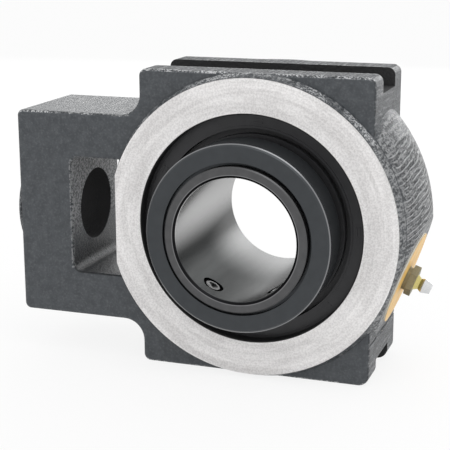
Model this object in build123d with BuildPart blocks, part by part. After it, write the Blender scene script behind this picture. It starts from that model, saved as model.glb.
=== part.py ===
from build123d import *
import os
from math import cos, radians, sin, sqrt

# Take-up bearing unit: a cast housing that slides between two guide rails and carries a
# sealed self-aligning roller bearing, with an extended inner ring locked to the shaft by
# a collar and two set screws. Millimetres. The origin is the bearing centre on the shaft
# axis, +Y points away from the collar, +Z is up and the take-up lug points to -X.

# Shaft and inner ring
shaft_diameter = 49.213
inner_front = 46.3
inner_rear = 22.85
inner_outer_radius = 29.05
inner_edge_chamfer = 0.5
inner_bore_chamfer = 1.0

# Housing casting
hub_width = 57.1
face_ring_radius = 60.45
face_ring_band = 0.65
hub_crown = 6.8
housing_bore = 92.4
bore_chamfer = 0.5
body_width = 47.85
body_left = 48.3
body_right = 48.85
body_half_height = 61.85
body_left_corner_radius = 3.0
body_top_corner_radius = 3.2
body_bottom_corner_radius = 4.5
cast_edge_radius = 1.3
guide_slot_width = 21.8
guide_span = 108.9

# Take-up lug, nut window and adjusting screw hole
lug_end = 104.0
lug_height = 87.1
lug_middle = -0.85
lug_corner_radius = 2.65
lug_root_radius = 8.6
window_left = 79.75
window_height = 49.5
window_face_cut = 2.85
window_corner_radius = 3.3
screw_hole_diameter = 31.0
lug_boss_radius = 23.45
lug_boss_height = 1.3
lug_boss_edge = 0.65

# Spherical roller bearing
race_radius = 41.25
outer_ring_width = 24.4
outer_ring_chamfer = 1.0
race_gap = 0.12
roller_count = 16
roller_diameter = 11.42
roller_length = 8.58
roller_crown_radius = 40.0
roller_edge_chamfer = 0.33
inner_race_radius = 40.46
contact_angle = 10.5
race_runout = 0.33
land_runout = 0.1
race_relief = 0.53
guide_ring_width = 1.85
guide_ring_radius = 34.32
guide_ring_gap = 0.1
cage_thickness = 2.0
cage_outer_rim = 1.5
cage_inner_rim = 1.1
pocket_gap = 0.18
oil_groove_width = 4.0
oil_groove_depth = 1.0
oil_hole_diameter = 2.0
oil_hole_count = 3

# Retaining rings
snap_thickness = 1.85
snap_depth = 1.6
snap_inner_radius = 43.25
snap_gap = 0.1
snap_mouth_angle = 16.0
snap_ear_radius = 2.65
snap_ear_hole = 1.65
snap_ear_inset = 0.65
snap_ear_angle = 12.5
snap_mouth_direction = 90.0

# Seals
seal_front_face = 23.25
seal_rear_face = 19.8
seal_lip_edge_radius = 40.25
seal_face_depth = 4.3
seal_web_thickness = 2.0
seal_web_radius = 33.0
seal_skirt_radius = 42.25
seal_rim_width = 0.85
seal_rim_height = 0.35
seal_mark_length = 3.55
seal_mark_width = 0.65
seal_mark_height = 0.25
seal_mark_pitch = 2.75
seal_mark_angles = (2.0, 87.0, 151.0, -44.0)
lip_gap = 0.25
lip_bond_inset = 0.2
lip_heel_radius = 30.6
lip_neck_radius = 31.15
lip_reach = 0.85
lip_tip_width = 0.33
lip_tip_slant = 0.15
slinger_radius = 37.8
slinger_plate = 1.3
slinger_rim = 1.7
slinger_inset = 0.35
slinger_gap = 0.55

# Locking collar and set screws
collar_wall = 8.55
collar_width = 16.15
collar_setback = 1.6
collar_chamfer = 1.0
collar_fit = 0.05
collar_counterbore_radius = 30.35
collar_counterbore_depth = 2.65
set_screw_diameter = 7.94
set_screw_fit = 0.05
set_screw_hole_clearance = 0.45
set_screw_first_angle = -119.5
set_screw_spacing_angle = 65.0
set_screw_recess = 0.1
set_screw_sink = 1.3
set_screw_point_radius = 3.0
set_screw_cup_radius = 2.1
set_screw_cup_depth = 0.8
set_screw_socket = 3.97
set_screw_socket_depth = 4.6
set_screw_edge = 0.5

# Grease fitting and tag
fitting_angle = -20.7
fitting_flat_sink = 6.0
fitting_flat_low = 25.1
fitting_flat_high = 30.4
fitting_flat_height = 13.2
tag_diameter = 39.5
tag_thickness = 0.7
tag_hole_gap = 0.2
fitting_thread_diameter = 9.8
fitting_thread_share = 0.52
fitting_standoff = 1.5
fitting_hole_end_gap = 0.7
fitting_thread_fit = 0.05
fitting_hex = 11.1
fitting_hex_height = 2.75
hex_turn = 18.5
fitting_shoulder_radius = 3.45
fitting_waist_radius = 2.3
fitting_waist_height = 1.85
fitting_head_radius = 3.15
fitting_head_height = 1.6
fitting_nose_radius = 2.2
fitting_nose_height = 3.4
fitting_bore_radius = 1.1
fitting_feed_radius = 0.7
fitting_mouth_radius = 0.55
fitting_seat_height = 0.7
fitting_seat_drop = 0.95
check_ball_radius = 0.9
check_ball_gap = 0.03
spring_wire_radius = 0.2
spring_radius = 0.7
spring_turns = 5
spring_length = 4.5
grease_drill_diameter = 4.0
grease_groove_width = 5.3
grease_groove_depth = 1.0

# Overrun of the cutting tools, so that holes and slots break through cleanly
cut_overrun = 1.0
drill_overrun = 3.0
clear_of_part = 60.0

# Values that follow from the sizes above
shaft_radius = shaft_diameter / 2
bore_radius = housing_bore / 2
half_hub = hub_width / 2
half_body = body_width / 2
half_outer_ring = outer_ring_width / 2
half_roller = roller_length / 2
roller_radius = roller_diameter / 2
pitch_distance = race_radius - race_gap - roller_radius
inner_race_distance = pitch_distance - roller_radius - race_gap
tilt_sin = sin(radians(contact_angle))
tilt_cos = cos(radians(contact_angle))
groove_radius = bore_radius + snap_depth + snap_gap
front_snap_start = half_outer_ring
rear_snap_start = seal_rear_face + seal_rim_height
snap_slot = snap_thickness + 2 * snap_gap
seal_front_start = front_snap_start + snap_slot
collar_radius = inner_outer_radius + collar_wall
collar_front = inner_front - collar_setback
collar_rear = collar_front - collar_width
set_screw_y = -(collar_front + collar_rear) / 2
barrel_radius = face_ring_radius + hub_crown
window_right = face_ring_radius - window_face_cut
fitting_flat_radius = barrel_radius - fitting_flat_sink
fitting_thread_length = fitting_thread_share * (fitting_flat_radius - bore_radius)
grease_hole_depth = fitting_thread_length + fitting_hole_end_gap


def row_point(side, along, across):
    # A point of a roller row's section, as (radius, y): along the roller axis towards the
    # bearing centre, and across it away from the shaft.
    radius = pitch_distance * tilt_cos + along * tilt_sin + across * tilt_cos
    depth = pitch_distance * tilt_sin - along * tilt_cos + across * tilt_sin
    return (radius, side * depth)


def inner_race_point(side, along):
    # A point of the inner ring's race, a shallow arc that faces the roller.
    rise = inner_race_radius - sqrt(inner_race_radius**2 - along**2)
    return row_point(side, along, inner_race_distance + rise - pitch_distance)


def roller_angle(side, index):
    # Rollers are spaced evenly, and the rear row sits half a pitch round from the front.
    pitch = 360 / roller_count
    return index * pitch + (pitch / 2 if side > 0 else 0)


def roller_plane(side, index):
    # Sketch plane of one roller: local X points away from the shaft, local Y is its axis.
    angle = radians(roller_angle(side, index))
    radius, depth = row_point(side, 0, 0)
    centre = Vector(radius * cos(angle), depth, radius * sin(angle))
    outward = Vector(tilt_cos * cos(angle), side * tilt_sin, tilt_cos * sin(angle))
    axis = Vector(tilt_sin * cos(angle), -side * tilt_cos, tilt_sin * sin(angle))
    return Plane(origin=centre, x_dir=outward, z_dir=outward.cross(axis))


def radial_plane(angle, radius, depth):
    # Plane whose local Z points away from the shaft axis, at an angle from +X towards +Z.
    turn = radians(angle)
    outward = Vector(cos(turn), 0, sin(turn))
    origin = Vector(radius * cos(turn), depth, radius * sin(turn))
    return Plane(origin=origin, x_dir=(0, 1, 0), z_dir=outward)


def section_plane(angle, radius, depth):
    # Plane that holds such a radial axis as its local Y, for revolved sections.
    turn = radians(angle)
    origin = Vector(radius * cos(turn), depth, radius * sin(turn))
    return Plane(origin=origin, x_dir=(0, 1, 0), z_dir=(sin(turn), 0, -cos(turn)))


def write(shape, name):
    shape.label = name
    export_step(shape, f"parts/{name}.step")
    print(name, round(shape.volume, 1))


os.makedirs("parts", exist_ok=True)

fitting_plane = radial_plane(fitting_angle, fitting_flat_radius, 0)
fitting_section = section_plane(fitting_angle, fitting_flat_radius, 0)
fitting_axis = Axis(fitting_plane.origin, fitting_plane.z_dir)

# Housing: one iron casting, with the body block, take-up lug and round hub in one piece
with BuildPart() as housing:
    # Body block between the guide rails
    with BuildSketch(Plane.XZ) as body_outline:
        with Locations(((body_right - body_left) / 2, 0)):
            Rectangle(body_left + body_right, 2 * body_half_height)
        fillet(body_outline.vertices().group_by(Axis.X)[0], body_left_corner_radius)
        right_ends = body_outline.vertices().group_by(Axis.X)[-1]
        fillet(right_ends.sort_by(Axis.Y)[0], body_bottom_corner_radius)
        right_ends = body_outline.vertices().group_by(Axis.X)[-1]
        fillet(right_ends.sort_by(Axis.Y)[-1], body_top_corner_radius)
    extrude(amount=half_body, both=True)
    # Lug that the adjusting screw pulls on
    with BuildSketch(Plane.XZ) as lug_outline:
        with Locations((-(lug_end + body_left) / 2 + body_left / 4, lug_middle)):
            Rectangle(lug_end - body_left + body_left / 2, lug_height)
        fillet(lug_outline.vertices().group_by(Axis.X)[0], lug_corner_radius)
    extrude(amount=half_body, both=True)
    lug_roots = housing.edges().filter_by(Axis.Y).filter_by(
        lambda edge: abs(edge.center().X + body_left) < 0.01
        and abs(abs(edge.center().Z - lug_middle) - lug_height / 2) < 0.01
    )
    fillet(lug_roots, lug_root_radius)
    # Cast edges of the lug and the block are rounded over
    block_faces = housing.faces().filter_by(Axis.Y).group_by(Axis.Y)
    fillet(block_faces[0].edges() + block_faces[-1].edges(), cast_edge_radius)
    # Low round boss on the end of the lug, where the screw's nut bears
    with BuildSketch(Plane.YZ.offset(-lug_end)):
        with Locations((0, lug_middle)):
            Circle(lug_boss_radius)
    extrude(amount=-lug_boss_height)
    fillet(housing.faces().sort_by(Axis.X)[0].edges(), lug_boss_edge)
    # Round hub, crowned outside and faced flat at both ends
    with BuildSketch(Plane.XY):
        with BuildLine():
            Line((0, -half_hub), (face_ring_radius, -half_hub))
            Line((face_ring_radius, -half_hub), (face_ring_radius, -half_hub + face_ring_band))
            ThreePointArc((face_ring_radius, -half_hub + face_ring_band), (barrel_radius, 0),
                          (face_ring_radius, half_hub - face_ring_band))
            Line((face_ring_radius, half_hub - face_ring_band), (face_ring_radius, half_hub))
            Line((face_ring_radius, half_hub), (0, half_hub))
            Line((0, half_hub), (0, -half_hub))
        make_face()
    revolve(axis=Axis.Y)
    # The hub is cut level with the lips above and below
    for direction in (1, -1):
        with Locations((0, 0, direction * (body_half_height + clear_of_part / 2))):
            Box(4 * barrel_radius, 2 * hub_width, clear_of_part, mode=Mode.SUBTRACT)
        # Guide slots that the rails run in
        slot_depth = body_half_height - guide_span / 2 + clear_of_part
        with Locations((0, 0, direction * (guide_span / 2 + slot_depth / 2))):
            Box(4 * barrel_radius, guide_slot_width, slot_depth, mode=Mode.SUBTRACT)
    # Window for the nut, cut a little way into the round of the hub
    with BuildSketch(Plane.XZ) as window_outline:
        with Locations((-(window_left + window_right) / 2, lug_middle)):
            Rectangle(window_left - window_right, window_height)
        fillet(window_outline.vertices().group_by(Axis.X)[0], window_corner_radius)
    extrude(amount=half_hub + cut_overrun, both=True, mode=Mode.SUBTRACT)
    window_edges = housing.edges().filter_by(
        lambda edge: abs(abs(edge.center().Y) - half_body) < 0.01
        and -window_left - 0.01 < edge.center().X < -window_right - 0.01
        and abs(edge.center().Z - lug_middle) < window_height / 2 + 0.01
    )
    fillet(window_edges, cast_edge_radius)
    # Hole that the adjusting screw passes through
    with BuildSketch(Plane.YZ.offset(-lug_end - lug_boss_height)):
        with Locations((0, lug_middle)):
            Circle(screw_hole_diameter / 2)
    extrude(amount=lug_end + lug_boss_height - window_left + cut_overrun, mode=Mode.SUBTRACT)
    # Bearing bore, with the retaining ring grooves and the grease groove
    with BuildSketch(Plane.XY):
        Polygon(
            (0, -half_hub), (bore_radius + bore_chamfer, -half_hub),
            (bore_radius, -half_hub + bore_chamfer),
            (bore_radius, -front_snap_start - snap_slot), (groove_radius, -front_snap_start - snap_slot),
            (groove_radius, -front_snap_start), (bore_radius, -front_snap_start),
            (bore_radius, -grease_groove_width / 2),
            (bore_radius + grease_groove_depth, -grease_groove_width / 2),
            (bore_radius + grease_groove_depth, grease_groove_width / 2),
            (bore_radius, grease_groove_width / 2),
            (bore_radius, rear_snap_start), (groove_radius, rear_snap_start),
            (groove_radius, rear_snap_start + snap_slot), (bore_radius, rear_snap_start + snap_slot),
            (bore_radius, half_hub - bore_chamfer), (bore_radius + bore_chamfer, half_hub),
            (0, half_hub), align=None,
        )
    revolve(axis=Axis.Y, mode=Mode.SUBTRACT)
    # Flat for the grease fitting and its tag, tapped and drilled through to the bore
    flat_middle = (fitting_flat_high - fitting_flat_low) / 2
    with BuildSketch(fitting_plane):
        with Locations((0, flat_middle)):
            Rectangle(hub_width + 2 * cut_overrun, fitting_flat_low + fitting_flat_high)
    extrude(amount=fitting_flat_height, mode=Mode.SUBTRACT)
    with BuildSketch(fitting_plane):
        Circle(fitting_thread_diameter / 2 + fitting_thread_fit)
    extrude(amount=-grease_hole_depth, mode=Mode.SUBTRACT)
    with BuildSketch(fitting_plane):
        Circle(grease_drill_diameter / 2)
    extrude(amount=bore_radius - fitting_flat_radius, mode=Mode.SUBTRACT)
write(housing.part, "housing")

# Bearing outer ring, with the spherical race inside and the oil groove outside
race_edge = sqrt(race_radius**2 - half_outer_ring**2)
with BuildPart() as outer_ring:
    with BuildSketch(Plane.XY):
        with BuildLine():
            Polyline(
                (race_edge, -half_outer_ring), (bore_radius - outer_ring_chamfer, -half_outer_ring),
                (bore_radius, -half_outer_ring + outer_ring_chamfer),
                (bore_radius, -oil_groove_width / 2),
                (bore_radius - oil_groove_depth, -oil_groove_width / 2),
                (bore_radius - oil_groove_depth, oil_groove_width / 2),
                (bore_radius, oil_groove_width / 2),
                (bore_radius, half_outer_ring - outer_ring_chamfer),
                (bore_radius - outer_ring_chamfer, half_outer_ring), (race_edge, half_outer_ring),
            )
            ThreePointArc((race_edge, half_outer_ring), (race_radius, 0), (race_edge, -half_outer_ring))
        make_face()
    revolve(axis=Axis.Y)
    # Oil holes from the groove through to the race
    for index in range(oil_hole_count):
        with BuildSketch(radial_plane(index * 360 / oil_hole_count, race_radius - drill_overrun, 0)):
            Circle(oil_hole_diameter / 2)
        extrude(amount=bore_radius - race_radius + drill_overrun, mode=Mode.SUBTRACT)
write(outer_ring.part, "outer_ring")

# Inner ring, long enough at the front to carry the locking collar
race_outer = [inner_race_point(side, -half_roller - race_runout) for side in (-1, 1)]
race_middle = [inner_race_point(side, 0) for side in (-1, 1)]
race_inner = [inner_race_point(side, half_roller + land_runout) for side in (-1, 1)]
land_radius = race_inner[0][0]
with BuildPart() as inner_ring:
    with BuildSketch(Plane.XY):
        with BuildLine():
            Polyline(
                race_outer[0], (inner_outer_radius, race_outer[0][1] - race_relief),
                (inner_outer_radius, -inner_front + inner_edge_chamfer),
                (inner_outer_radius - inner_edge_chamfer, -inner_front),
                (shaft_radius + inner_bore_chamfer, -inner_front),
                (shaft_radius, -inner_front + inner_bore_chamfer),
                (shaft_radius, inner_rear - inner_bore_chamfer),
                (shaft_radius + inner_bore_chamfer, inner_rear),
                (inner_outer_radius - inner_edge_chamfer, inner_rear),
                (inner_outer_radius, inner_rear - inner_edge_chamfer),
                (inner_outer_radius, race_outer[1][1] + race_relief), race_outer[1],
            )
            ThreePointArc(race_outer[1], race_middle[1], race_inner[1])
            Line(race_inner[1], race_inner[0])
            ThreePointArc(race_inner[0], race_middle[0], race_outer[0])
        make_face()
    revolve(axis=Axis.Y)
    # Clearance holes that the set screws reach the shaft through
    for index in range(2):
        turn = set_screw_first_angle + index * set_screw_spacing_angle
        with BuildSketch(radial_plane(turn, shaft_radius - drill_overrun, set_screw_y)):
            Circle(set_screw_diameter / 2 + set_screw_hole_clearance)
        extrude(amount=inner_outer_radius - shaft_radius + 2 * drill_overrun, mode=Mode.SUBTRACT)
write(inner_ring.part, "inner_ring")

# Loose guide ring on the land between the two roller rows
guide_inner = land_radius + guide_ring_gap
with BuildPart() as guide_ring:
    with BuildSketch(Plane.XY):
        with Locations(((guide_inner + guide_ring_radius) / 2, 0)):
            Rectangle(guide_ring_radius - guide_inner, guide_ring_width)
    revolve(axis=Axis.Y)
write(guide_ring.part, "guide_ring")

# Barrel rollers: one row at the front and one at the rear, leaning towards each other
crown_end = half_roller - roller_edge_chamfer
crown_drop = roller_crown_radius - sqrt(roller_crown_radius**2 - crown_end**2)
crown_end_radius = roller_radius - crown_drop
for side, row in ((-1, "front"), (1, "rear")):
    for index in range(roller_count):
        plane = roller_plane(side, index)
        with BuildPart() as roller:
            with BuildSketch(plane):
                with BuildLine():
                    Polyline(
                        (crown_end_radius, crown_end),
                        (crown_end_radius - roller_edge_chamfer, half_roller), (0, half_roller),
                        (0, -half_roller), (crown_end_radius - roller_edge_chamfer, -half_roller),
                        (crown_end_radius, -crown_end),
                    )
                    ThreePointArc((crown_end_radius, -crown_end), (roller_radius, 0),
                                  (crown_end_radius, crown_end))
                make_face()
            revolve(axis=Axis(plane.origin, plane.y_dir))
        write(roller.part, f"roller_{row}_{index + 1:02d}")

# Cages: one pressed steel cone per row, with a pocket for every roller
for side, row in ((-1, "front"), (1, "rear")):
    outer_end = -half_roller - pocket_gap - cage_outer_rim
    inner_end = half_roller + pocket_gap + cage_inner_rim
    with BuildPart() as cage:
        with BuildSketch(Plane.XY):
            Polygon(
                row_point(side, outer_end, -cage_thickness / 2),
                row_point(side, inner_end, -cage_thickness / 2),
                row_point(side, inner_end, cage_thickness / 2),
                row_point(side, outer_end, cage_thickness / 2), align=None,
            )
        revolve(axis=Axis.Y)
        for index in range(roller_count):
            plane = roller_plane(side, index)
            with BuildSketch(plane):
                with Locations(((roller_radius + pocket_gap) / 2, 0)):
                    Rectangle(roller_radius + pocket_gap, roller_length + 2 * pocket_gap)
            revolve(axis=Axis(plane.origin, plane.y_dir), mode=Mode.SUBTRACT)
    write(cage.part, f"cage_{row}")

# Retaining rings, sprung into grooves of the housing bore with the mouth at the top
for side, row, start in ((-1, "front", front_snap_start), (1, "rear", rear_snap_start)):
    face = start + snap_gap
    snap_radius = bore_radius + snap_depth
    mouth_ray = 2 * snap_radius
    mouth_low = radians(snap_mouth_direction - snap_mouth_angle / 2)
    mouth_high = radians(snap_mouth_direction + snap_mouth_angle / 2)
    ear_ray = snap_inner_radius + snap_ear_inset
    ear_spots = [
        (ear_ray * cos(radians(snap_mouth_direction + turn)),
         ear_ray * sin(radians(snap_mouth_direction + turn)))
        for turn in (-snap_ear_angle, snap_ear_angle)
    ]
    with BuildPart() as retaining_ring:
        with BuildSketch(Plane.XZ.offset(-side * face)):
            Circle(snap_radius)
            Circle(snap_inner_radius, mode=Mode.SUBTRACT)
            Polygon(
                (0, 0), (mouth_ray * cos(mouth_low), mouth_ray * sin(mouth_low)),
                (mouth_ray * cos(mouth_high), mouth_ray * sin(mouth_high)),
                align=None, mode=Mode.SUBTRACT,
            )
            with Locations(*ear_spots):
                Circle(snap_ear_radius)
            with Locations(*ear_spots):
                Circle(snap_ear_hole / 2, mode=Mode.SUBTRACT)
        extrude(amount=-side * snap_thickness)
    write(retaining_ring.part, f"retaining_ring_{row}")

# Seals: a pressed steel case, a rubber lip bonded inside it and a slinger on the inner ring
seal_rows = ((-1, "front", seal_front_start, seal_front_face), (1, "rear", half_outer_ring, seal_rear_face))
for side, row, start, face in seal_rows:
    web_front = face - seal_face_depth
    web_back = web_front - seal_web_thickness
    with BuildPart() as seal_case:
        with BuildSketch(Plane.XY):
            Polygon(
                (bore_radius, side * start), (bore_radius, side * (face + seal_rim_height)),
                (bore_radius - seal_rim_width, side * (face + seal_rim_height)),
                (bore_radius - seal_rim_width, side * face),
                (seal_lip_edge_radius + seal_rim_width, side * face),
                (seal_lip_edge_radius + seal_rim_width, side * (face + seal_rim_height)),
                (seal_lip_edge_radius, side * (face + seal_rim_height)),
                (seal_lip_edge_radius, side * web_front), (seal_web_radius, side * web_front),
                (seal_web_radius, side * web_back), (seal_skirt_radius, side * web_back),
                (seal_skirt_radius, side * start), align=None,
            )
        revolve(axis=Axis.Y)
        # Plain raised bars on the face, in pairs
        mark_radius = (bore_radius + seal_lip_edge_radius) / 2
        for mark_angle in seal_mark_angles:
            with BuildSketch(Plane.XZ.offset(-side * face)):
                with Locations(Location((0, 0, 0), (0, 0, mark_angle))):
                    with Locations((mark_radius - seal_mark_pitch / 4, 0),
                                   (mark_radius + seal_mark_pitch / 4, 0)):
                        Rectangle(seal_mark_width, seal_mark_length)
            extrude(amount=-side * seal_mark_height)
    write(seal_case.part, f"seal_case_{row}")
    lip_tip = inner_outer_radius + lip_gap
    with BuildPart() as seal_lip:
        with BuildSketch(Plane.XY):
            Polygon(
                (seal_web_radius, side * (web_back + lip_bond_inset)),
                (seal_web_radius, side * (web_front - lip_bond_inset)),
                (lip_neck_radius, side * (web_front - lip_bond_inset)),
                (lip_tip + lip_tip_width, side * (web_front + lip_reach)),
                (lip_tip, side * (web_front + lip_reach - lip_tip_slant)),
                (lip_heel_radius, side * (web_back + lip_bond_inset)), align=None,
            )
        revolve(axis=Axis.Y)
    write(seal_lip.part, f"seal_lip_{row}")
    plate_front = face - slinger_inset
    with BuildPart() as slinger:
        with BuildSketch(Plane.XY):
            Polygon(
                (inner_outer_radius, side * plate_front), (slinger_radius, side * plate_front),
                (slinger_radius, side * (web_front + slinger_gap)),
                (slinger_radius - slinger_rim, side * (web_front + slinger_gap)),
                (slinger_radius - slinger_rim, side * (plate_front - slinger_plate)),
                (inner_outer_radius, side * (plate_front - slinger_plate)), align=None,
            )
        revolve(axis=Axis.Y)
    write(slinger.part, f"slinger_{row}")

# Locking collar on the long end of the inner ring, tapped for two set screws
collar_bore = inner_outer_radius + collar_fit
with BuildPart() as locking_collar:
    with BuildSketch(Plane.XY):
        Polygon(
            (collar_bore, -collar_rear), (collar_radius - collar_chamfer, -collar_rear),
            (collar_radius, -collar_rear - collar_chamfer), (collar_radius, -collar_front + collar_chamfer),
            (collar_radius - collar_chamfer, -collar_front), (collar_counterbore_radius, -collar_front),
            (collar_counterbore_radius, -collar_front + collar_counterbore_depth),
            (collar_bore, -collar_front + collar_counterbore_depth), align=None,
        )
    revolve(axis=Axis.Y)
    for index in range(2):
        turn = set_screw_first_angle + index * set_screw_spacing_angle
        with BuildSketch(radial_plane(turn, inner_outer_radius - drill_overrun, set_screw_y)):
            Circle(set_screw_diameter / 2)
        extrude(amount=collar_radius - inner_outer_radius + 2 * drill_overrun, mode=Mode.SUBTRACT)
write(locking_collar.part, "locking_collar")

# Cup point set screws, tips just short of the shaft bore
screw_radius = set_screw_diameter / 2 - set_screw_fit
screw_tip = shaft_radius + set_screw_recess
screw_top = collar_radius - set_screw_sink
screw_taper = screw_radius - set_screw_point_radius
for index in range(2):
    turn = set_screw_first_angle + index * set_screw_spacing_angle
    plane = section_plane(turn, 0, set_screw_y)
    with BuildPart() as set_screw:
        with BuildSketch(plane):
            Polygon(
                (0, screw_tip + set_screw_cup_depth), (set_screw_cup_radius, screw_tip),
                (set_screw_point_radius, screw_tip), (screw_radius, screw_tip + screw_taper),
                (screw_radius, screw_top - set_screw_edge),
                (screw_radius - set_screw_edge, screw_top), (0, screw_top), align=None,
            )
        revolve(axis=Axis(plane.origin, plane.y_dir))
        with BuildSketch(radial_plane(turn, screw_top, set_screw_y)):
            RegularPolygon(radius=set_screw_socket / 2, side_count=6, major_radius=False)
        extrude(amount=-set_screw_socket_depth, mode=Mode.SUBTRACT)
    write(set_screw.part, f"set_screw_{index + 1}")

# Grease fitting, screwed into the flat through its tag
hex_base = tag_thickness + fitting_standoff
hex_top = hex_base + fitting_hex_height
waist_top = hex_top + fitting_waist_height
head_top = waist_top + fitting_head_height
nose_top = head_top + fitting_nose_height
seat_top = nose_top - fitting_seat_drop
seat_base = seat_top - fitting_seat_height
# The ball rests a hair below its seat cone
seat_rise = fitting_seat_height
seat_run = fitting_bore_radius - fitting_mouth_radius
seat_length = sqrt(seat_rise**2 + seat_run**2)
ball_offset = (check_ball_radius + check_ball_gap) * seat_length
ball_height = seat_base + (fitting_bore_radius * seat_rise - ball_offset) / seat_run
# The spring carries the ball from below and stands on the floor of the chamber
coil_reach = check_ball_radius + spring_wire_radius + check_ball_gap
spring_top = ball_height - sqrt(coil_reach**2 - spring_radius**2)
spring_base = spring_top - spring_length
chamber_floor = spring_base - spring_wire_radius - check_ball_gap
thread_radius = fitting_thread_diameter / 2
with BuildPart() as grease_fitting:
    with BuildSketch(fitting_section):
        Polygon(
            (0, -fitting_thread_length), (thread_radius, -fitting_thread_length),
            (thread_radius, hex_base), (0, hex_base), align=None,
        )
    revolve(axis=fitting_axis)
    with BuildSketch(fitting_plane.offset(hex_base)):
        RegularPolygon(radius=fitting_hex / 2, side_count=6, major_radius=False, rotation=hex_turn)
    extrude(amount=fitting_hex_height)
    with BuildSketch(fitting_section):
        Polygon(
            (0, hex_top), (fitting_shoulder_radius, hex_top), (fitting_waist_radius, waist_top),
            (fitting_head_radius, head_top), (fitting_nose_radius, nose_top), (0, nose_top), align=None,
        )
    revolve(axis=fitting_axis)
    with BuildSketch(fitting_section):
        Polygon(
            (0, -fitting_thread_length), (fitting_feed_radius, -fitting_thread_length),
            (fitting_feed_radius, chamber_floor), (fitting_bore_radius, chamber_floor),
            (fitting_bore_radius, seat_base), (fitting_mouth_radius, seat_top),
            (fitting_mouth_radius, nose_top), (0, nose_top), align=None,
        )
    revolve(axis=fitting_axis, mode=Mode.SUBTRACT)
write(grease_fitting.part, "grease_fitting")

# Check ball that closes the fitting
with BuildPart() as check_ball:
    with Locations(fitting_plane.offset(ball_height)):
        Sphere(check_ball_radius)
write(check_ball.part, "check_ball")

# Spring behind the check ball
coil_start = fitting_plane.offset(spring_base).origin
with BuildPart() as fitting_spring:
    with BuildLine() as coil:
        Helix(pitch=spring_length / spring_turns, height=spring_length, radius=spring_radius,
              center=coil_start, direction=fitting_plane.z_dir)
    with BuildSketch(Plane(origin=coil.line @ 0, z_dir=coil.line % 0)):
        Circle(spring_wire_radius)
    sweep(path=coil.line, is_frenet=True)
write(fitting_spring.part, "fitting_spring")

# Round tag held under the hexagon
with BuildPart() as grease_tag:
    with BuildSketch(fitting_plane):
        Circle(tag_diameter / 2)
        Circle(thread_radius + tag_hole_gap, mode=Mode.SUBTRACT)
    extrude(amount=tag_thickness)
write(grease_tag.part, "grease_tag")
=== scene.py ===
from math import cos, pi, radians, sin

import bpy
from mathutils import Matrix, Vector


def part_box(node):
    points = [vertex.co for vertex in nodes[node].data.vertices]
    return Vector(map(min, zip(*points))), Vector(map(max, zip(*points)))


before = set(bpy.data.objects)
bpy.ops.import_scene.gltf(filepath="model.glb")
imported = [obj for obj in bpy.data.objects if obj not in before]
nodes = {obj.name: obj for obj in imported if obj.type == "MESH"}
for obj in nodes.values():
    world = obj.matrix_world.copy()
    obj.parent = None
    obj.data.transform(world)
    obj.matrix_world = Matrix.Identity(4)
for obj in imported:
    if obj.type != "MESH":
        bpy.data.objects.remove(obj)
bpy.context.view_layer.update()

# Housing: one iron casting, sand-cast and painted dark slate grey, with the streaks and ridges that
# its pattern left where it was drawn out of the sand along the shaft. Its two round faces are turned
# bright, and the guide slots, the screw hole and the bore are left bare and coloured near black as painted
# shade.
paint_colour = (0.044, 0.050, 0.057, 1.0)
paint_dust_colour = (0.062, 0.069, 0.077, 1.0)
grain_glint_colour = (0.26, 0.265, 0.27, 1.0)
painted_shade_colour = (0.016, 0.018, 0.020, 1.0)
crest_highlight_colour = (0.60, 0.61, 0.62, 1.0)
dust_and_light_colour = (0.36, 0.365, 0.37, 1.0)
wear_and_glint_colour = (0.72, 0.73, 0.74, 1.0)
face_colour = (0.98, 0.965, 0.96, 1.0)
face_shade_colour = (0.60, 0.585, 0.58, 1.0)
bare_iron_shade_colour = (0.016, 0.016, 0.017, 1.0)
hub_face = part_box("housing")[1].y
body_face = 0.0239
bore_radius = 0.0462
slot_half_width = 0.0109
slot_floor = 0.05445
hole_radius = 0.0155
hole_middle = -0.00085
window_left = -0.07975
lug_top = 0.0427
lip_top = 0.06185
edge_round = 0.0013
ring_outside = 0.06045
barrel_start = 0.0500
sand_size = 0.0010
sand_depth = 0.00050
front_sand_share = 0.22
front_glint_share = 0.12
streak_size = 0.0011
streak_length = 0.018
streak_depth = 0.00042
wave_size = 0.009
wave_depth = 0.00055
ridge_pitch = 0.0021
ridge_slant = -0.20
ridge_depth = 0.0008
ridge_low = -0.012
ridge_high = 0.032
ridge_fade = 0.008
ridge_front = -0.0265
ridge_back = 0.003
turning_pitch = 0.0009
turning_depth = 0.000012
edge_blur = 0.0001
face_margin = 0.0003
level_band = 0.0004
lug_start = -0.056
lug_root_start = -0.053
window_right = -0.0562
window_top = 0.0243
window_floor = -0.026
window_light_line = (-0.014, 0.0)
window_shade_line = (-0.021, -0.009)
rim_width = 0.0009
rim_low = -0.024
rim_high = 0.023
slot_edge_width = 0.0006
slot_edge_drop = 0.0007
shoulder_width = 0.0016
shoulder_glint_line = (0.026, 0.042)
patch_size = 0.004
wander_size = 0.016
wander_reach = 0.004
ridge_patch = (0.36, 0.52)
patch_range = (0.35, 0.65)
glint_grain_range = (0.49, 0.62)
hollow_shade_range = (0.38, 0.49)
dust_and_light_range = (0.44, 0.56)
lip_and_rim_grain_range = (0.42, 0.56)
crest_range = (0.3, 1.0)
valley_range = (-1.0, -0.2)
glint_size = 0.0007
glint_range = (0.47, 0.58)
glint_gap_size = 0.012
glint_gap_range = (0.38, 0.54)
side_glint_share = 0.85
crest_highlight_share = 0.85
valley_shade_share = 0.6
lug_dust_and_light_share = 0.60
window_light_share = 0.75
barrel_dust_and_light_share = 0.62
lip_shade_share = 0.8
window_shade_share = 0.75
rim_highlight_share = 0.6
shoulder_glint_share = 0.7
arc_patch_pitch = 0.0035
arc_patch_length = 0.012
ring_mark_share = 0.20
arc_patch_share = 0.35
dapple_share = 0.45
face_shade_share = 0.9
face_metal = 0.25
paint_roughness = 0.40
dull_roughness = 0.66
face_roughness = 0.48
bare_roughness = 0.75


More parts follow.
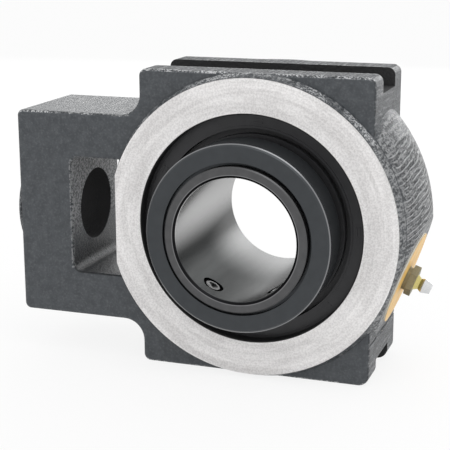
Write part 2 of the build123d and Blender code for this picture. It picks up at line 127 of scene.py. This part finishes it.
def finish(name):
    # A new material, with its node tree and its shader.
    material = bpy.data.materials.new(name)
    material.use_nodes = True
    return material, material.node_tree, material.node_tree.nodes["Principled BSDF"]


def add(tree, kind, inputs, **settings):
    # One node, with its settings and its inputs; an input is a value or another node's output.
    made = tree.nodes.new(kind)
    for name, value in settings.items():
        setattr(made, name, value)
    for socket, value in inputs.items():
        if isinstance(value, bpy.types.NodeSocket):
            tree.links.new(value, made.inputs[socket])
        else:
            made.inputs[socket].default_value = value
    return made


def place(tree):
    # The point's place on the object, in metres.
    return tree.nodes.new("ShaderNodeTexCoord").outputs["Object"]


def coordinates(tree):
    # The same place as three numbers.
    return add(tree, "ShaderNodeSeparateXYZ", {0: place(tree)}).outputs


def calculate(tree, operation, first, second=0.0):
    return add(tree, "ShaderNodeMath", {0: first, 1: second}, operation=operation).outputs[0]


def every(tree, *shares):
    # Product of several shares, so it is 1 only where all of them are.
    total = shares[0]
    for share in shares[1:]:
        total = calculate(tree, "MULTIPLY", total, share)
    return total


def largest(tree, *shares):
    total = shares[0]
    for share in shares[1:]:
        total = calculate(tree, "MAXIMUM", total, share)
    return total


def opposite(tree, share):
    return calculate(tree, "SUBTRACT", 1.0, share)


def radius_from(tree, along, middle=(0, 0, 0)):
    # Distance of the point from a line through middle; along is 0 for the line's own direction.
    moved = add(tree, "ShaderNodeVectorMath", {0: place(tree), 1: middle}, operation="SUBTRACT")
    flat = add(tree, "ShaderNodeVectorMath", {0: moved.outputs[0], 1: along}, operation="MULTIPLY")
    return add(tree, "ShaderNodeVectorMath", {0: flat.outputs[0]}, operation="LENGTH").outputs["Value"]


def shaft_radius_of(tree):
    return radius_from(tree, (1, 0, 1))


def step(tree, value, low, high):
    # 0 below low, 1 above high, and smooth between them.
    return add(tree, "ShaderNodeMapRange", {"Value": value, "From Min": low, "From Max": high},
               interpolation_type="SMOOTHSTEP").outputs["Result"]


def above(tree, value, level):
    return step(tree, value, level - edge_blur, level + edge_blur)


def below(tree, value, level):
    return opposite(tree, above(tree, value, level))


def within(tree, value, low, high):
    return every(tree, above(tree, value, low), below(tree, value, high))


def speckle(tree, size, detail=3.0, stretch=(1, 1, 1), roughness=0.55):
    # A grain pattern whose spots are about that size, in metres.
    spot = tuple(1.0 / (size * part) for part in stretch)
    scaled = add(tree, "ShaderNodeVectorMath", {0: place(tree), 1: spot}, operation="MULTIPLY")
    return add(tree, "ShaderNodeTexNoise", {"Vector": scaled.outputs[0], "Scale": 1.0,
               "Detail": detail, "Roughness": roughness}).outputs["Fac"]


def blend_colour(tree, share, first, second):
    # Second colour over the first, by share.
    made = add(tree, "ShaderNodeMix", {"Factor": share}, data_type="RGBA")
    for socket, value in ((made.inputs[6], first), (made.inputs[7], second)):
        if isinstance(value, bpy.types.NodeSocket):
            tree.links.new(value, socket)
        else:
            socket.default_value = value
    return made.outputs[2]


def blend_number(tree, share, first, second):
    return add(tree, "ShaderNodeMix", {0: share, 2: first, 3: second}).outputs[0]


def relief(tree, *layers):
    # One bump from layers of height, each a pattern and its depth in metres.
    height = every(tree, layers[0][0], layers[0][1])
    for pattern, depth in layers[1:]:
        height = calculate(tree, "ADD", height, every(tree, pattern, depth))
    bump = add(tree, "ShaderNodeBump", {"Height": height, "Distance": 1.0, "Strength": 1.0})
    return bump.outputs["Normal"]


def wear(node_name, material):
    # Gives a piece of the frame its finish.
    mesh = nodes[node_name].data
    mesh.materials.clear()
    mesh.materials.append(material)


def turning_marks(tree, pitch, arc=0.03, detail=2.0):
    # Rings round the shaft axis, broken into arcs about that long, as a lathe tool leaves them.
    radius = shaft_radius_of(tree)
    outward = add(tree, "ShaderNodeVectorMath", {0: place(tree), 1: (1, 0, 1)}, operation="MULTIPLY")
    outward = add(tree, "ShaderNodeVectorMath", {0: outward.outputs[0]}, operation="NORMALIZE")
    arcs = add(tree, "ShaderNodeVectorMath", {0: outward.outputs[0], "Scale": hub_face / arc},
               operation="SCALE")
    ring = add(tree, "ShaderNodeCombineXYZ", {1: calculate(tree, "DIVIDE", radius, pitch)})
    where = add(tree, "ShaderNodeVectorMath", {0: arcs.outputs[0], 1: ring.outputs[0]}, operation="ADD")
    noise = add(tree, "ShaderNodeTexNoise", {"Vector": where.outputs[0], "Scale": 1.0, "Detail": detail})
    return noise.outputs["Fac"]


casting, tree, shader = finish("painted_casting")
across, depth, height = coordinates(tree)
depth_away = calculate(tree, "ABSOLUTE", depth)
height_away = calculate(tree, "ABSOLUTE", height)
shaft_distance = shaft_radius_of(tree)
turned_face = above(tree, depth_away, hub_face - 0.0002)
in_bore = below(tree, shaft_distance, bore_radius + 0.0005)
in_slot = every(tree, below(tree, depth_away, slot_half_width + edge_blur),
                above(tree, height_away, slot_floor - edge_blur))
hole_distance = radius_from(tree, (0, 1, 1), (0, 0, hole_middle))
in_hole = every(tree, below(tree, hole_distance, hole_radius + face_margin),
                below(tree, across, window_left - face_margin))
bare_and_shaded = largest(tree, in_bore, in_slot, in_hole)
painted = every(tree, opposite(tree, turned_face), opposite(tree, in_bore))
front_or_back = within(tree, depth_away, body_face - face_margin, body_face + face_margin)
in_window = every(tree, within(tree, across, window_left - face_margin, window_right), painted,
                  opposite(tree, front_or_back), within(tree, height, window_floor, window_top))
drawn_side = every(tree, opposite(tree, front_or_back), opposite(tree, in_window), painted)

# Housing, its grain: sand all over, long streaks along the shaft and slanting ridges on the barrel.
# The window was cored, so it has sand and no streaks.
sand = speckle(tree, sand_size, 4.0, roughness=0.65)
streaks = speckle(tree, streak_size, 4.0, (1, streak_length / streak_size, 1), 0.6)
waves = speckle(tree, wave_size, 2.0)
slanted = calculate(tree, "ADD", height, calculate(tree, "MULTIPLY", depth, ridge_slant))
wander = every(tree, speckle(tree, wander_size, 2.0), wander_reach)
ridge_turn = calculate(tree, "MULTIPLY", calculate(tree, "ADD", slanted, wander), 2 * pi / ridge_pitch)
ridges = calculate(tree, "SINE", ridge_turn)
ridged = every(tree, step(tree, height, ridge_low, ridge_low + ridge_fade),
               opposite(tree, step(tree, height, ridge_high, ridge_high + ridge_fade)),
               step(tree, depth, ridge_front, ridge_front + ridge_fade),
               opposite(tree, step(tree, depth, ridge_back, ridge_back + ridge_fade)),
               above(tree, across, barrel_start), step(tree, speckle(tree, patch_size, 3.0), *ridge_patch))
grain = calculate(tree, "ADD", every(tree, sand, 0.5),
                  every(tree, blend_number(tree, in_window, streaks, sand), 0.5))
grain_light_share = blend_number(tree, drawn_side, front_glint_share, side_glint_share)

# Housing, its paint: painted glints on the grain's high spots and painted shade in its hollows, painted
# highlights on the ridges' crests and painted shade in their valleys, dust with painted light on the lug's
# top and the barrel, painted light high in the window and painted shade low in it, a painted highlight on
# the window's left rim, and worn edges with painted glints.
patchy = step(tree, speckle(tree, patch_size, 5.0), *patch_range)
paint = blend_colour(tree, patchy, paint_colour, paint_dust_colour)
# Painted glints on the grain's high spots and painted shade in its hollows, much stronger on the drawn sides
# than on the front and back.
grain_glints = every(tree, step(tree, grain, *glint_grain_range), grain_light_share)
paint = blend_colour(tree, grain_glints, paint, grain_glint_colour)
grain_hollow_shade = every(tree, opposite(tree, step(tree, grain, *hollow_shade_range)), grain_light_share)
paint = blend_colour(tree, grain_hollow_shade, paint, painted_shade_colour)
# Painted highlight on the barrel's ridge crests and painted shade in their valleys.
crests = every(tree, step(tree, ridges, *crest_range), ridged)
paint = blend_colour(tree, every(tree, crests, crest_highlight_share), paint, crest_highlight_colour)
valleys = every(tree, opposite(tree, step(tree, ridges, *valley_range)), ridged)
paint = blend_colour(tree, every(tree, valleys, valley_shade_share), paint, painted_shade_colour)
lug_level = every(tree, within(tree, height, lug_top - level_band, lug_top + level_band),
                  below(tree, across, lug_root_start))
lip_level = above(tree, height_away, lip_top - level_band)
on_barrel = every(tree, above(tree, across, barrel_start), drawn_side, opposite(tree, turned_face))
window_upper = every(tree, in_window, step(tree, height, *window_light_line))
# Dust with painted light on the lug's top and the barrel, and painted light on the window's upper wall.
dust_and_light_areas = largest(tree, every(tree, lug_level, lug_dust_and_light_share), every(tree, window_upper, window_light_share),
                  every(tree, on_barrel, barrel_dust_and_light_share))
dust_and_light = every(tree, dust_and_light_areas, step(tree, grain, *dust_and_light_range))
paint = blend_colour(tree, dust_and_light, paint, dust_and_light_colour)
# Painted shade in the grain's hollows on the lips' tops.
lip_hollow_shade = every(tree, lip_level, opposite(tree, step(tree, grain, *lip_and_rim_grain_range)), lip_shade_share)
paint = blend_colour(tree, lip_hollow_shade, paint, painted_shade_colour)
# Painted shade low in the window, darker towards its floor.
window_shade = every(tree, in_window, opposite(tree, step(tree, height, *window_shade_line)), window_shade_share)
paint = blend_colour(tree, window_shade, paint, painted_shade_colour)
# Painted highlight along the window's left rim.
window_rim = every(tree, above(tree, depth_away, body_face - edge_round),
                   within(tree, height, rim_low, rim_high),
                   within(tree, across, window_left - rim_width, window_left + 0.0002), painted)
rim_highlight = every(tree, window_rim, step(tree, sand, *lip_and_rim_grain_range), rim_highlight_share)
paint = blend_colour(tree, rim_highlight, paint, dust_and_light_colour)
# Worn edges with painted glints along them, and a painted highlight on the upper part of the hub's shoulder.
rounded = within(tree, depth_away, body_face - edge_round, body_face - edge_blur)
on_lug_top = every(tree, within(tree, height, lug_top - edge_round, lug_top - 0.0002),
                   below(tree, across, lug_start))
on_lips = above(tree, height_away, lip_top - edge_round)
slot_edge = every(tree, below(tree, depth_away, slot_half_width + slot_edge_width),
                  above(tree, height_away, lip_top - slot_edge_drop))
shoulder = every(tree, above(tree, depth_away, body_face + 0.0006),
                 within(tree, shaft_distance, ring_outside + 0.0002, ring_outside + shoulder_width),
                 opposite(tree, turned_face), step(tree, height, *shoulder_glint_line))
edges = largest(tree, every(tree, rounded, largest(tree, on_lug_top, on_lips)), slot_edge,
                every(tree, shoulder, shoulder_glint_share))
wear_and_glints = every(tree, edges, step(tree, speckle(tree, glint_size, 3.0), *glint_range),
             step(tree, speckle(tree, glint_gap_size, 2.0), *glint_gap_range))
paint = blend_colour(tree, wear_and_glints, paint, wear_and_glint_colour)

# Housing, its two turned faces: rings and broken arcs round the shaft axis with a fine dapple, and
# then everything joined in the one finish of the casting.
rings = turning_marks(tree, turning_pitch)
patches = turning_marks(tree, arc_patch_pitch, arc_patch_length, 4.0)
dapple = step(tree, speckle(tree, glint_size, 2.0), 0.36, 0.64)
shade = calculate(tree, "ADD", every(tree, step(tree, rings, 0.3, 0.7), ring_mark_share),
                  every(tree, step(tree, patches, 0.38, 0.62), arc_patch_share))
shade = calculate(tree, "ADD", shade, every(tree, dapple, dapple_share))
face = blend_colour(tree, every(tree, shade, face_shade_share), face_colour, face_shade_colour)
surface = blend_colour(tree, turned_face, paint, face)
# The slots, the screw hole and the bore are coloured near black: bare iron, darkened as painted shade.
surface = blend_colour(tree, bare_and_shaded, surface, bare_iron_shade_colour)
tree.links.new(surface, shader.inputs["Base Color"])
tree.links.new(every(tree, turned_face, face_metal), shader.inputs["Metallic"])
dull = largest(tree, lip_level, every(tree, lug_level, step(tree, grain, 0.42, 0.54)))
roughness = blend_number(tree, dull, paint_roughness, dull_roughness)
roughness = blend_number(tree, turned_face, roughness, face_roughness)
tree.links.new(blend_number(tree, bare_and_shaded, roughness, bare_roughness), shader.inputs["Roughness"])
sand_share = every(tree, painted, blend_number(tree, front_or_back, 1.0, front_sand_share))
bump = relief(tree, (every(tree, sand, sand_share), sand_depth),
              (every(tree, streaks, drawn_side), streak_depth), (every(tree, waves, painted), wave_depth),
              (every(tree, ridges, ridged), ridge_depth), (every(tree, rings, turned_face), turning_depth))
tree.links.new(bump, shader.inputs["Normal"])
wear("housing", casting)

# Locking collar: turned steel ring with a black oxide finish, slipped over the long end of the
# inner ring and held there by its two set screws. Its front chamfer's outer edge is coloured bright, worn
# metal with a painted highlight.
collar_colour = (0.042, 0.046, 0.050, 1.0)
collar_patch_colour = (0.058, 0.063, 0.068, 1.0)
edge_highlight_colour = (0.34, 0.34, 0.35, 1.0)
collar_low, collar_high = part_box("locking_collar")
collar_radius = collar_high.x
collar_chamfer = 0.001
chamfer_highlight_width = 0.0004
chamfer_highlight_share = 0.6

black_collar, tree, shader = finish("black_collar")
depth = coordinates(tree)[1]
radius = shaft_radius_of(tree)
# Painted highlight, with some wear, on the outer edge of the front chamfer.
front_chamfer = every(tree, above(tree, radius, collar_radius - chamfer_highlight_width),
                      below(tree, depth, collar_low.y + collar_chamfer))
blackened = blend_colour(tree, speckle(tree, 0.004, 4.0), collar_colour, collar_patch_colour)
blackened = blend_colour(tree, every(tree, front_chamfer, chamfer_highlight_share), blackened, edge_highlight_colour)
tree.links.new(blackened, shader.inputs["Base Color"])
shader.inputs["Metallic"].default_value = 0.65
tree.links.new(blend_number(tree, front_chamfer, 0.36, 0.22), shader.inputs["Roughness"])
tree.links.new(relief(tree, (turning_marks(tree, 0.0004), 0.000008)), shader.inputs["Normal"])
wear("locking_collar", black_collar)

# Inner ring: turned from one bar and blackened, with its bore then ground to the shaft's size. The
# lead-in at each end of the bore is coloured near black, oxide with a painted dark reflection, with a thin
# painted highlight where it meets the face; the ground bore is coloured lighter toward the back and on one
# side, as a painted highlight.
ring_colour = (0.074, 0.075, 0.078, 1.0)
ring_patch_colour = (0.12, 0.12, 0.122, 1.0)
lead_in_oxide_and_shade_colour = (0.010, 0.010, 0.011, 1.0)
grazing_tint = (0.45, 0.45, 0.45, 1.0)
ground_colour = (0.050, 0.052, 0.052, 1.0)
ground_shade_colour = (0.030, 0.032, 0.032, 1.0)
ground_highlight_colour = (0.80, 0.80, 0.80, 1.0)
bore_highlight_direction = (-0.82, 0.0, 0.57)
ring_low, ring_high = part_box("inner_ring")
shaft_radius = 0.0246065
lead_in = 0.0010
lead_in_highlight_width = 0.0003
lead_in_highlight_share = 0.5
polish_share = 0.35
back_highlight_share = 0.25

ring_steel, tree, shader = finish("inner_ring_steel")
depth = coordinates(tree)[1]
radius = shaft_radius_of(tree)
bored = below(tree, radius, shaft_radius + 0.0001)
# The lead-in is coloured near black, oxide with a painted dark reflection, and a thin painted highlight runs
# beside it.
leading = every(tree, below(tree, radius, shaft_radius + lead_in), opposite(tree, bored))
lead_in_highlight = every(tree, below(tree, radius, shaft_radius + lead_in + lead_in_highlight_width), opposite(tree, leading),
             opposite(tree, bored))
outside = blend_colour(tree, speckle(tree, 0.003, 4.0), ring_colour, ring_patch_colour)
outside = blend_colour(tree, every(tree, lead_in_highlight, lead_in_highlight_share), outside, edge_highlight_colour)
outside = blend_colour(tree, leading, outside, lead_in_oxide_and_shade_colour)
polish = step(tree, speckle(tree, 0.0016, 3.0, (1, 12, 1)), 0.35, 0.65)
ground = blend_colour(tree, every(tree, polish, polish_share), ground_colour, ground_shade_colour)
# Painted highlight on the ground bore, lighter toward the back and on one side.
toward_back = step(tree, depth, ring_low.y + 0.4 * (ring_high.y - ring_low.y), ring_high.y)
side = calculate(tree, "DIVIDE", add(tree, "ShaderNodeVectorMath", {0: place(tree), 1: bore_highlight_direction},
                 operation="DOT_PRODUCT").outputs["Value"], shaft_radius)
hexagon_rubbing_and_bore_highlight = largest(tree, every(tree, toward_back, back_highlight_share), step(tree, side, 0.55, 1.0))
ground = blend_colour(tree, hexagon_rubbing_and_bore_highlight, ground, ground_highlight_colour)
tree.links.new(blend_colour(tree, bored, outside, ground), shader.inputs["Base Color"])
shader.inputs["Metallic"].default_value = 0.9
shader.inputs["Specular Tint"].default_value = grazing_tint
tree.links.new(blend_number(tree, bored, 0.36, 0.27), shader.inputs["Roughness"])
tree.links.new(relief(tree, (turning_marks(tree, 0.0004), 0.000006)), shader.inputs["Normal"])
wear("inner_ring", ring_steel)

# Bearing steel parts: outer ring, guide ring, rollers and the fitting's ball, hardened and ground,
# lightly greased.


def mottled(name, first, second, spot, detail, metallic, roughness, pieces):
    # A finish of two colours in soft spots, given to each of the pieces.
    material, tree, shader = finish(name)
    colour = blend_colour(tree, speckle(tree, spot, detail), first, second)
    tree.links.new(colour, shader.inputs["Base Color"])
    shader.inputs["Metallic"].default_value = metallic
    shader.inputs["Roughness"].default_value = roughness
    for piece in pieces:
        wear(piece, material)


rollers = [name for name in nodes if name.startswith("roller_")]
mottled("bearing_steel", (0.42, 0.42, 0.43, 1.0), (0.5, 0.5, 0.51, 1.0), 0.003, 4.0, 1.0, 0.25,
        ["outer_ring", "guide_ring", "check_ball"] + rollers)

# Cages: one pressed steel cone for each row of rollers, with a grey phosphate coat. They are inside
# the bearing, so the finish is plain.
mottled("cage_steel", (0.2, 0.2, 0.19, 1.0), (0.28, 0.28, 0.27, 1.0), 0.002, 4.0, 0.8, 0.5,
        ["cage_front", "cage_rear"])

# Retaining rings and the fitting's spring: dark oiled spring steel. The rings sit in grooves of the
# housing's bore, and the spring is inside the fitting.
mottled("spring_steel", (0.1, 0.1, 0.1, 1.0), (0.16, 0.16, 0.165, 1.0), 0.003, 4.0, 0.9, 0.35,
        ["retaining_ring_front", "retaining_ring_rear", "fitting_spring"])

# Seal cases and slingers: pressed steel with a dark coating, at both ends of the bearing. The front
# case's raised rims catch the light.
mottled("seal_steel", (0.028, 0.028, 0.03, 1.0), (0.045, 0.045, 0.048, 1.0), 0.004, 4.0, 0.3, 0.42,
        ["seal_case_front", "seal_case_rear", "slinger_front", "slinger_rear"])

# Seal lips: black nitrile rubber, bonded inside the seal cases and running on the slingers. It is the
# dullest black on the part.
mottled("seal_rubber", (0.012, 0.012, 0.012, 1.0), (0.02, 0.02, 0.02, 1.0), 0.002, 3.0, 0.0, 0.65,
        ["seal_lip_front", "seal_lip_rear"])

# Set screws: black alloy steel with a cup point. Their tips show in the bore, a little brighter in
# spots where they have been turned against a shaft.
mottled("screw_steel", (0.02, 0.02, 0.021, 1.0), (0.05, 0.05, 0.05, 1.0), 0.002, 3.0, 0.8, 0.35,
        ["set_screw_1", "set_screw_2"])

# Grease fitting: turned steel, zinc plated with a yellow passivation that is rubbed off the hexagon
# and worn to bright steel on the head, where the grease gun's coupler grips it.
hexagon_colour = (0.20, 0.185, 0.125, 1.0)
hexagon_rubbed_colour = (0.36, 0.33, 0.22, 1.0)
passivated_colour = (0.62, 0.53, 0.20, 1.0)
bright_nose_colour = (0.68, 0.69, 0.70, 1.0)
fitting_angle = radians(-20.7)
fitting_direction = (cos(fitting_angle), 0.0, sin(fitting_angle))
flat_reach = 0.06125
tag_thickness = 0.0007
hexagon_height = 0.00495
neck_length = 0.0026
hexagon_end = flat_reach + hexagon_height
head_start = hexagon_end + neck_length


def reach_along(tree, direction):
    # How far out the point lies along the fitting's axis.
    reach = add(tree, "ShaderNodeVectorMath", {0: place(tree), 1: direction}, operation="DOT_PRODUCT")
    return reach.outputs["Value"]


zinc, tree, shader = finish("zinc_fitting")
reach = reach_along(tree, fitting_direction)
hexagon_rubbing_and_bore_highlight = blend_colour(tree, speckle(tree, 0.0006, 4.0), hexagon_colour, hexagon_rubbed_colour)
past_hexagon = above(tree, reach, hexagon_end + 0.0001)
on_head = step(tree, reach, head_start, head_start + 0.0008)
plated = blend_colour(tree, past_hexagon, hexagon_rubbing_and_bore_highlight, passivated_colour)
tree.links.new(blend_colour(tree, on_head, plated, bright_nose_colour), shader.inputs["Base Color"])
shader.inputs["Metallic"].default_value = 0.85
tree.links.new(blend_number(tree, past_hexagon, 0.5, 0.24), shader.inputs["Roughness"])
hexagon_grain = every(tree, opposite(tree, past_hexagon), 0.00006)
tree.links.new(relief(tree, (speckle(tree, 0.0005, 3.0), hexagon_grain)), shader.inputs["Normal"])
wear("grease_fitting", zinc)

# Tag under the fitting: a stamped disc of sheet with a plain yellow face and a pale cut edge, loose
# round the fitting's thread.
tag_colour = (0.84, 0.47, 0.08, 1.0)
tag_faded_colour = (0.88, 0.60, 0.22, 1.0)
tag_edge_colour = (0.90, 0.85, 0.72, 1.0)

tag_finish, tree, shader = finish("yellow_tag")
reach = reach_along(tree, fitting_direction)
tag_face = blend_colour(tree, step(tree, speckle(tree, 0.006, 4.0), 0.35, 0.7), tag_colour, tag_faded_colour)
on_top = above(tree, reach, flat_reach + tag_thickness - 0.0001)
tree.links.new(blend_colour(tree, on_top, tag_edge_colour, tag_face), shader.inputs["Base Color"])
shader.inputs["Roughness"].default_value = 0.42
tree.links.new(relief(tree, (speckle(tree, 0.003, 3.0), 0.00004)), shader.inputs["Normal"])
wear("grease_tag", tag_finish)

# Studio: a pale floor under the lower lips, a white surround, soft lamps, and the camera where
# the photograph was taken from.
floor_gap = 0.0001
floor_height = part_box("housing")[0].z - floor_gap
floor_size = 6.0
world_light = 0.85
floor_glow_share = 0.85
photo_scale = 0.66
camera_place = photo_scale * Vector((0.2288, -0.73225, 0.1863))
camera_azimuth = radians(19.49)
camera_elevation = radians(14.14)
camera_roll = radians(-0.19)
camera_lens = 99.78
sensor_width = 36.0

bpy.ops.mesh.primitive_plane_add(size=floor_size, location=(0, 0, floor_height))
floor = bpy.context.object
floor.name = "floor"
floor_finish, tree, shader = finish("floor")
shader.inputs["Base Color"].default_value = (0.93, 0.93, 0.93, 1.0)
shader.inputs["Roughness"].default_value = 0.9
light_path = tree.nodes.new("ShaderNodeLightPath")
glow = add(tree, "ShaderNodeEmission", {"Color": (1, 1, 1, 1), "Strength": 1.0})
seen = calculate(tree, "MAXIMUM", light_path.outputs["Is Camera Ray"], light_path.outputs["Is Glossy Ray"])
share = calculate(tree, "MULTIPLY", seen, floor_glow_share)
mixed = add(tree, "ShaderNodeMixShader", {0: share, 1: shader.outputs[0], 2: glow.outputs[0]})
tree.links.new(mixed.outputs[0], tree.nodes["Material Output"].inputs["Surface"])
floor.data.materials.append(floor_finish)

world = bpy.data.worlds.new("studio")
bpy.context.scene.world = world
world.use_nodes = True
tree = world.node_tree
backdrop = tree.nodes["Background"]
light_path = tree.nodes.new("ShaderNodeLightPath")
seen = largest(tree, light_path.outputs["Is Camera Ray"], light_path.outputs["Is Glossy Ray"],
               light_path.outputs["Is Transmission Ray"])
backdrop.inputs["Color"].default_value = (1.0, 1.0, 1.0, 1.0)
tree.links.new(blend_number(tree, seen, world_light, 1.0), backdrop.inputs["Strength"])


def soft_lamp(name, power, width, height, spot):
    # A soft box aimed at the shaft's middle.
    lamp = bpy.data.lights.new(name, "AREA")
    lamp.shape = "RECTANGLE"
    lamp.energy = power
    lamp.size = width
    lamp.size_y = height
    lamp_object = bpy.data.objects.new(name, lamp)
    bpy.context.scene.collection.objects.link(lamp_object)
    lamp_object.location = spot
    lamp_object.rotation_euler = Vector(spot).to_track_quat("Z", "Y").to_euler()
    lamp_object.visible_camera = False


soft_lamp("back_lamp", 3.6, 1.1, 0.36, (-0.10, 0.95, 0.27))
soft_lamp("top_lamp", 1.2, 0.5, 0.5, (0.25, -0.25, 0.70))

outlook = Vector((-sin(camera_azimuth) * cos(camera_elevation),
                  cos(camera_azimuth) * cos(camera_elevation), -sin(camera_elevation)))
right = Vector((cos(camera_azimuth), sin(camera_azimuth), 0))
up = right.cross(outlook)
turned_right = cos(camera_roll) * right + sin(camera_roll) * up
turned_up = -sin(camera_roll) * right + cos(camera_roll) * up
camera_data = bpy.data.cameras.new("camera")
camera_data.lens = camera_lens
camera_data.sensor_width = sensor_width
camera_data.clip_end = 20.0
camera = bpy.data.objects.new("camera", camera_data)
bpy.context.scene.collection.objects.link(camera)
axes = Matrix((turned_right, turned_up, -outlook)).transposed().to_4x4()
camera.matrix_world = Matrix.Translation(camera_place) @ axes
bpy.context.scene.camera = camera
bpy.context.scene.view_settings.view_transform = "Standard"
